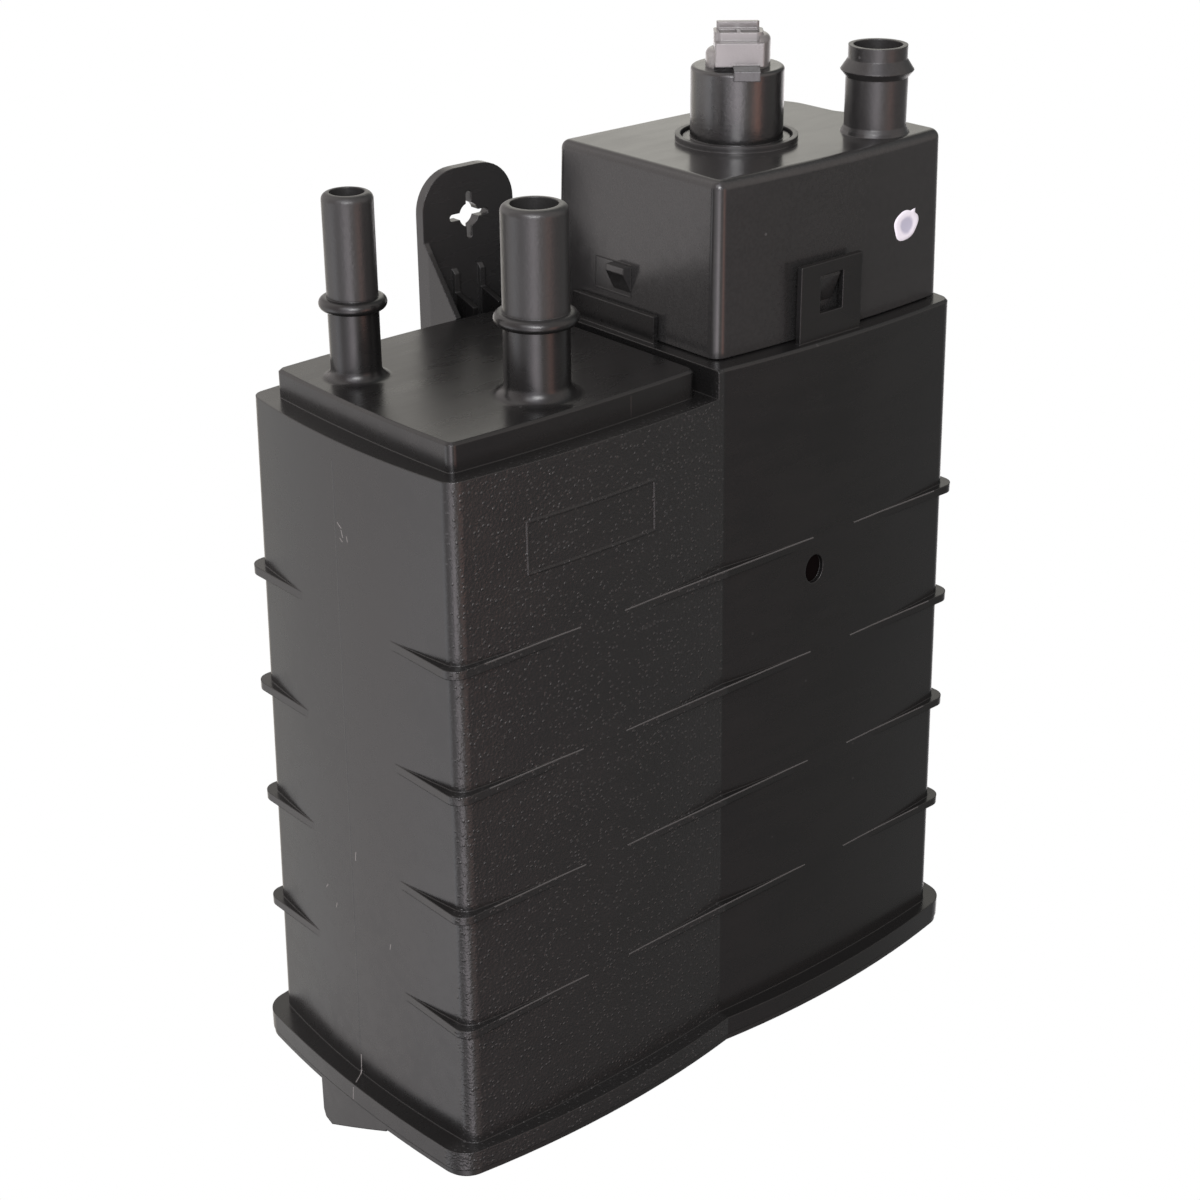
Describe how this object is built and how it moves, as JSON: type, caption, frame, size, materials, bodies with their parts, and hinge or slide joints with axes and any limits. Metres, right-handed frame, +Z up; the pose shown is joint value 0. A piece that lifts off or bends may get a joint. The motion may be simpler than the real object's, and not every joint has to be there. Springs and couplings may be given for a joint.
{
  "type": "charcoal canister",
  "caption": "Boxy plastic vapour canister with two hose ports, a vent valve box with a solenoid and a hose barb, and a mounting tab.",
  "frame": {"origin": "middle of the whole outline in plan, at the ground", "axes": "+Z up through the ports, +X to the vent box end along the wide side, -Y to the wide front with the strap"},
  "size_m": [0.184, 0.0968, 0.273],
  "materials": {
    "black_plastic": "satin black moulded plastic",
    "inner_plastic": "natural moulded plastic",
    "carbon": "packed granules",
    "foam": "open foam",
    "spring_steel": "drawn wire",
    "rubber": "matt rubber",
    "terminal": "tinned brass",
    "steel": "plated steel",
    "copper": "enamelled copper wire"
  },
  "bodies": {
    "canister": {"canister_body": "black_plastic", "bottom_cover": "black_plastic", "vent_box": "black_plastic", "solenoid_holder": "black_plastic", "carbon_bed_tank": "carbon", "carbon_bed_air": "carbon", "top_filter_tank": "foam", "top_filter_air": "foam", "low_filter_tank": "foam", "low_filter_air": "foam", "vent_filter": "foam", "press_plate_tank": "inner_plastic", "press_plate_air": "inner_plastic", "coil_bobbin": "inner_plastic", "bed_spring_tank": "spring_steel", "bed_spring_air": "spring_steel", "return_spring": "spring_steel", "vent_box_gasket": "rubber", "holder_o_ring": "rubber", "connector_terminals": "terminal", "solenoid_can": "steel", "can_end_plate": "steel", "pole_core": "steel", "coil_winding": "copper"},
    "valve_plunger": {"plunger": "steel", "plunger_seal": "rubber"}
  },
  "joints": [
    {"name": "plunger_slide", "type": "slide", "parent": "canister", "child": "valve_plunger", "axis": [0, 0, -1], "range_m": [0, 0.00235], "stiffness_N_per_m": 400, "springref_m": -0.003, "deforming": ["return_spring"]}
  ]
}
